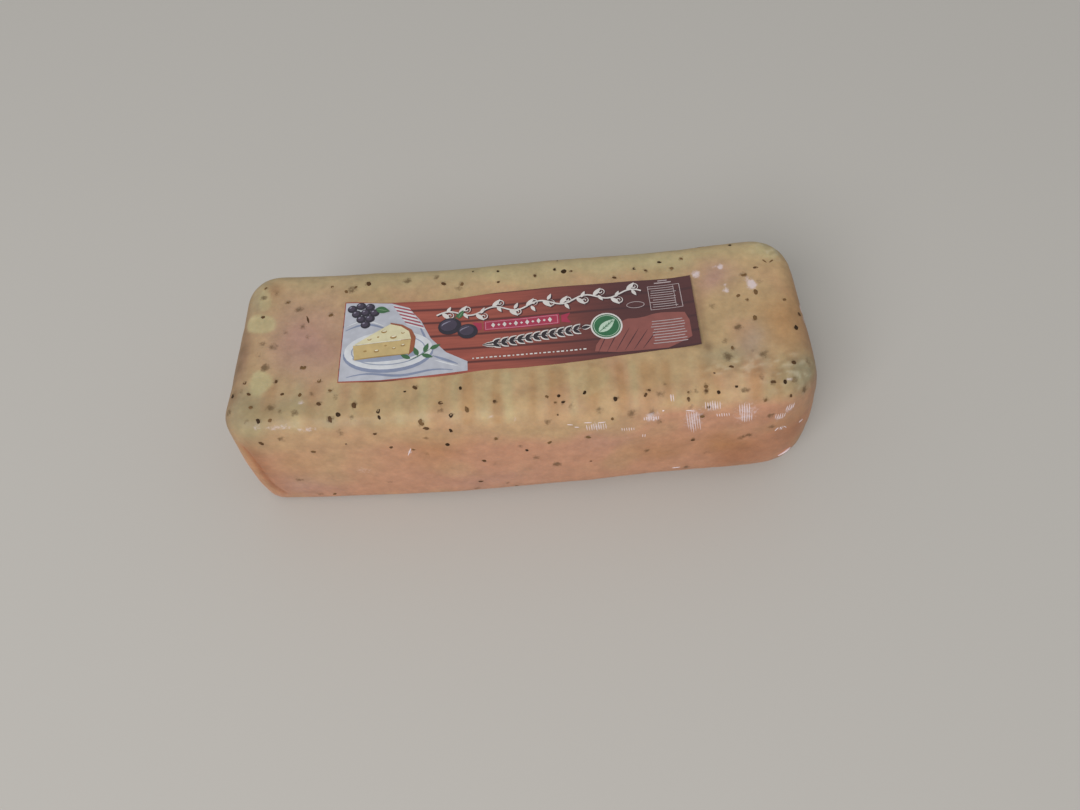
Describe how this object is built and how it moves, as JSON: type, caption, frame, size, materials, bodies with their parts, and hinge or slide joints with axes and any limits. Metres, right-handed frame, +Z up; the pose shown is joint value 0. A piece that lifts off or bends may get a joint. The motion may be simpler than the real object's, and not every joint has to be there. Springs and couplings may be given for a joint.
{
  "type": "raclette cheese loaf",
  "caption": "Whole rectangular loaf of raclette cheese with rounded edges, dark truffle flecks in the rind and one long label stuck on the top.",
  "frame": {"origin": "middle of the bounding box at the level of the flat base", "axes": "+X along the loaf, +Y across it towards the back, +Z up; the side nearest the viewer faces -Y"},
  "size_m": [0.3078, 0.1144, 0.0838],
  "materials": {
    "rind": "washed cheese rind under a tight clear skin, salmon orange and yellow, soft sheen",
    "label": "printed coated paper, red brown, satin"
  },
  "bodies": {
    "root": {"cheese_loaf": "rind", "label": "label"}
  },
  "joints": []
}
